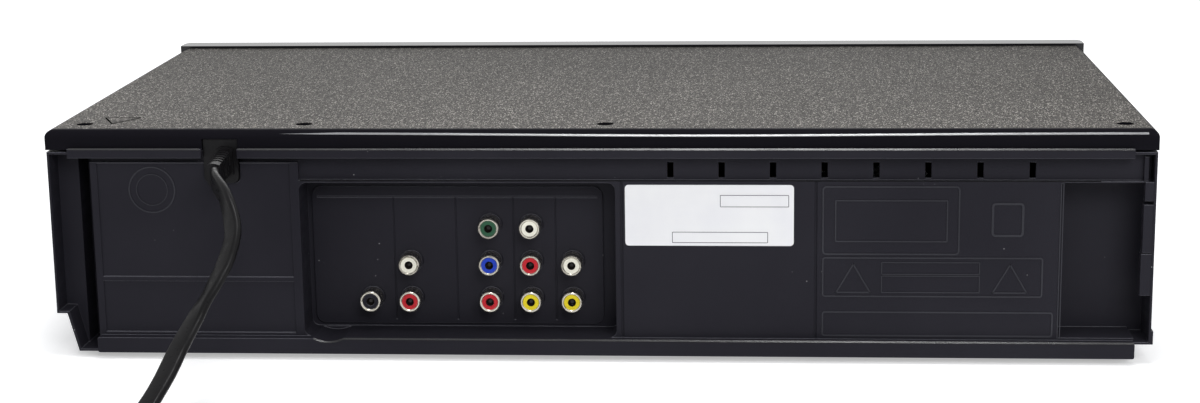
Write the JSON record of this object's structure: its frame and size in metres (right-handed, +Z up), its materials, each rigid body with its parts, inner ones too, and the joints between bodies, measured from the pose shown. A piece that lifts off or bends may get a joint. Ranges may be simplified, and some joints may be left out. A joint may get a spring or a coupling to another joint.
{
  "type": "disc and cassette player",
  "caption": "Low black case that joins a cassette deck with a lift-down basket and head drum to a disc drive with a rack-driven tray, seen with its connector panel and mains cord.",
  "frame": {"origin": "centre of the footprint at floor level, under the feet", "axes": "+Z up, the front panel faces -Y, the connector panel faces +Y, +X to the right seen from the front"},
  "size_m": [0.435, 0.4384, 0.0936],
  "materials": {
    "black_moulding": "injection moulded, fine satin grain",
    "speckled_cover": "sheet steel with a grey and black speckle",
    "gloss_panel": "polished black",
    "black_screw": "black oxide",
    "rubber_foot": "moulded",
    "bright_steel": "drawn and ground",
    "smoked_window": "smoked, polished",
    "circuit_board": "bare laminate with solder resist",
    "nickel_shell": "nickel plated",
    "white_insert": "moulded",
    "red_insert": "moulded",
    "green_insert": "moulded",
    "blue_insert": "moulded",
    "yellow_insert": "moulded",
    "black_rubber": "satin",
    "wound_core": "tape over windings, ferrite core",
    "zinc_sheet": "zinc plated sheet",
    "dark_acetal": "moulded",
    "white_acetal": "moulded",
    "turned_alloy": "fine turned",
    "tray_moulding": "moulded, fine grain",
    "button_moulding": "moulded, satin"
  },
  "bodies": {
    "case": {"chassis": "black_moulding", "top_cover": "speckled_cover", "front_panel": "gloss_panel", "cover_screws": "black_screw", "feet": "rubber_foot", "door_spring": "bright_steel", "display_window": "smoked_window", "front_boards": "circuit_board", "jack_base": "black_moulding", "jack_shells": "nickel_shell", "jack_inserts_white": "white_insert", "jack_inserts_red": "red_insert", "jack_insert_green": "green_insert", "jack_insert_blue": "blue_insert", "jack_inserts_yellow": "yellow_insert", "video_out_shell": "nickel_shell", "jack_board": "circuit_board", "cord_boot": "black_rubber", "cord": "black_rubber", "cord_coil": "black_rubber", "plug": "black_rubber", "main_board": "circuit_board", "power_board": "circuit_board", "transformer": "wound_core", "deck_plate": "zinc_sheet", "carriage_frame": "zinc_sheet", "lower_drum": "turned_alloy", "tape_guides": "bright_steel", "loader_base": "dark_acetal", "clamp_bridge": "zinc_sheet", "loading_motor": "zinc_sheet", "drive_belt": "black_rubber"},
    "door": {"cassette_door": "gloss_panel"},
    "sliders": {"basket_sliders": "dark_acetal"},
    "basket": {"cassette_basket": "zinc_sheet"},
    "supply_reel": {"supply_reel": "white_acetal"},
    "take_up_reel": {"take_up_reel": "white_acetal"},
    "upper_drum": {"upper_drum": "turned_alloy"},
    "capstan": {"capstan": "bright_steel"},
    "pinch_arm": {"pinch_arm": "zinc_sheet"},
    "pinch_roller": {"pinch_roller": "black_rubber"},
    "tray": {"disc_tray": "tray_moulding", "tray_rack": "white_acetal", "tray_fascia": "gloss_panel"},
    "pinion": {"tray_pinion": "white_acetal"},
    "motor_pulley": {"motor_pulley": "white_acetal"},
    "traverse": {"traverse_deck": "zinc_sheet", "guide_rods": "bright_steel"},
    "turntable": {"turntable": "dark_acetal"},
    "pickup": {"pickup_sled": "dark_acetal"},
    "puck": {"clamp_puck": "white_acetal"},
    "power_button": {"power_button": "button_moulding"},
    "rewind_button": {"rewind_button": "button_moulding"},
    "play_button": {"play_button": "button_moulding"},
    "forward_button": {"forward_button": "button_moulding"},
    "record_button": {"record_button": "button_moulding"},
    "eject_button": {"eject_button": "button_moulding"},
    "disc_play_button": {"disc_play_button": "button_moulding"},
    "disc_stop_button": {"disc_stop_button": "button_moulding"},
    "disc_open_button": {"disc_open_button": "button_moulding"}
  },
  "joints": [
    {"name": "door_hinge", "type": "hinge", "parent": "case", "child": "door", "pos_m": [-0.106, -0.1153, 0.0799], "axis": [1, 0, 0], "range_deg": [0, 88], "stiffness_Nm_per_rad": 0.008, "springref_deg": -20.05, "deforming": ["door_spring"]},
    {"name": "slider_slide", "type": "slide", "parent": "case", "child": "sliders", "axis": [0, 1, 0], "range_m": [0, 0.045]},
    {"name": "basket_lift", "type": "slide", "parent": "sliders", "child": "basket", "axis": [0, 0, -1], "range_m": [0, 0.018]},
    {"name": "supply_turn", "type": "hinge", "parent": "case", "child": "supply_reel", "pos_m": [-0.152, -0.03, 0.03], "axis": [0, 0, 1], "continuous": true},
    {"name": "take_up_turn", "type": "hinge", "parent": "case", "child": "take_up_reel", "pos_m": [-0.06, -0.03, 0.03], "axis": [0, 0, 1], "continuous": true},
    {"name": "drum_turn", "type": "hinge", "parent": "case", "child": "upper_drum", "pos_m": [-0.106, 0.058, 0.031], "axis": [0.1028, 0, 0.9947], "continuous": true},
    {"name": "capstan_turn", "type": "hinge", "parent": "case", "child": "capstan", "pos_m": [-0.046, 0.027, 0.02], "axis": [0, 0, 1], "continuous": true},
    {"name": "pinch_swing", "type": "hinge", "parent": "case", "child": "pinch_arm", "pos_m": [-0.02, 0.04, 0.032], "axis": [0, 0, 1], "range_deg": [0, 35], "stiffness_Nm_per_rad": 0.02, "springref_deg": -11.46},
    {"name": "roller_turn", "type": "hinge", "parent": "pinch_arm", "child": "pinch_roller", "pos_m": [-0.04166, 0.04321, 0.04], "axis": [0, 0, 1], "continuous": true},
    {"name": "tray_slide", "type": "slide", "parent": "case", "child": "tray", "axis": [0, -1, 0], "range_m": [0, 0.138]},
    {"name": "pinion_turn", "type": "hinge", "parent": "case", "child": "pinion", "pos_m": [0.081, -0.088, 0.06], "axis": [0, 0, 1], "range_deg": [-10, 800]},
    {"name": "pulley_turn", "type": "hinge", "parent": "case", "child": "motor_pulley", "pos_m": [0.105, -0.088, 0.05], "axis": [0, 0, 1], "range_deg": [-50, 3400]},
    {"name": "traverse_tilt", "type": "hinge", "parent": "case", "child": "traverse", "pos_m": [0.128, 0.046, 0.056], "axis": [1, 0, 0], "range_deg": [0, 4]},
    {"name": "turntable_turn", "type": "hinge", "parent": "traverse", "child": "turntable", "pos_m": [0.128, -0.044, 0.06], "axis": [0, 0, 1], "continuous": true},
    {"name": "pickup_slide", "type": "slide", "parent": "traverse", "child": "pickup", "axis": [0, 1, 0], "range_m": [0, 0.034]},
    {"name": "puck_turn", "type": "hinge", "parent": "case", "child": "puck", "pos_m": [0.128, -0.044, 0.08], "axis": [0, 0, 1], "continuous": true},
    {"name": "power_button_press", "type": "slide", "parent": "case", "child": "power_button", "axis": [0, 1, 0], "range_m": [0, 0.0008], "stiffness_N_per_m": 900, "springref_m": -0.0006},
    {"name": "rewind_button_press", "type": "slide", "parent": "case", "child": "rewind_button", "axis": [0, 1, 0], "range_m": [0, 0.0008], "stiffness_N_per_m": 900, "springref_m": -0.0006},
    {"name": "play_button_press", "type": "slide", "parent": "case", "child": "play_button", "axis": [0, 1, 0], "range_m": [0, 0.0008], "stiffness_N_per_m": 900, "springref_m": -0.0006},
    {"name": "forward_button_press", "type": "slide", "parent": "case", "child": "forward_button", "axis": [0, 1, 0], "range_m": [0, 0.0008], "stiffness_N_per_m": 900, "springref_m": -0.0006},
    {"name": "record_button_press", "type": "slide", "parent": "case", "child": "record_button", "axis": [0, 1, 0], "range_m": [0, 0.0008], "stiffness_N_per_m": 900, "springref_m": -0.0006},
    {"name": "eject_button_press", "type": "slide", "parent": "case", "child": "eject_button", "axis": [0, 1, 0], "range_m": [0, 0.0008], "stiffness_N_per_m": 900, "springref_m": -0.0006},
    {"name": "disc_play_button_press", "type": "slide", "parent": "case", "child": "disc_play_button", "axis": [0, 1, 0], "range_m": [0, 0.0008], "stiffness_N_per_m": 900, "springref_m": -0.0006},
    {"name": "disc_stop_button_press", "type": "slide", "parent": "case", "child": "disc_stop_button", "axis": [0, 1, 0], "range_m": [0, 0.0008], "stiffness_N_per_m": 900, "springref_m": -0.0006},
    {"name": "disc_open_button_press", "type": "slide", "parent": "case", "child": "disc_open_button", "axis": [0, 1, 0], "range_m": [0, 0.0008], "stiffness_N_per_m": 900, "springref_m": -0.0006}
  ],
  "couplings": [
    {"joint": "pinion_turn", "follows": "tray_slide", "rad_per_m": 100},
    {"joint": "pulley_turn", "follows": "tray_slide", "rad_per_m": 411.76}
  ]
}
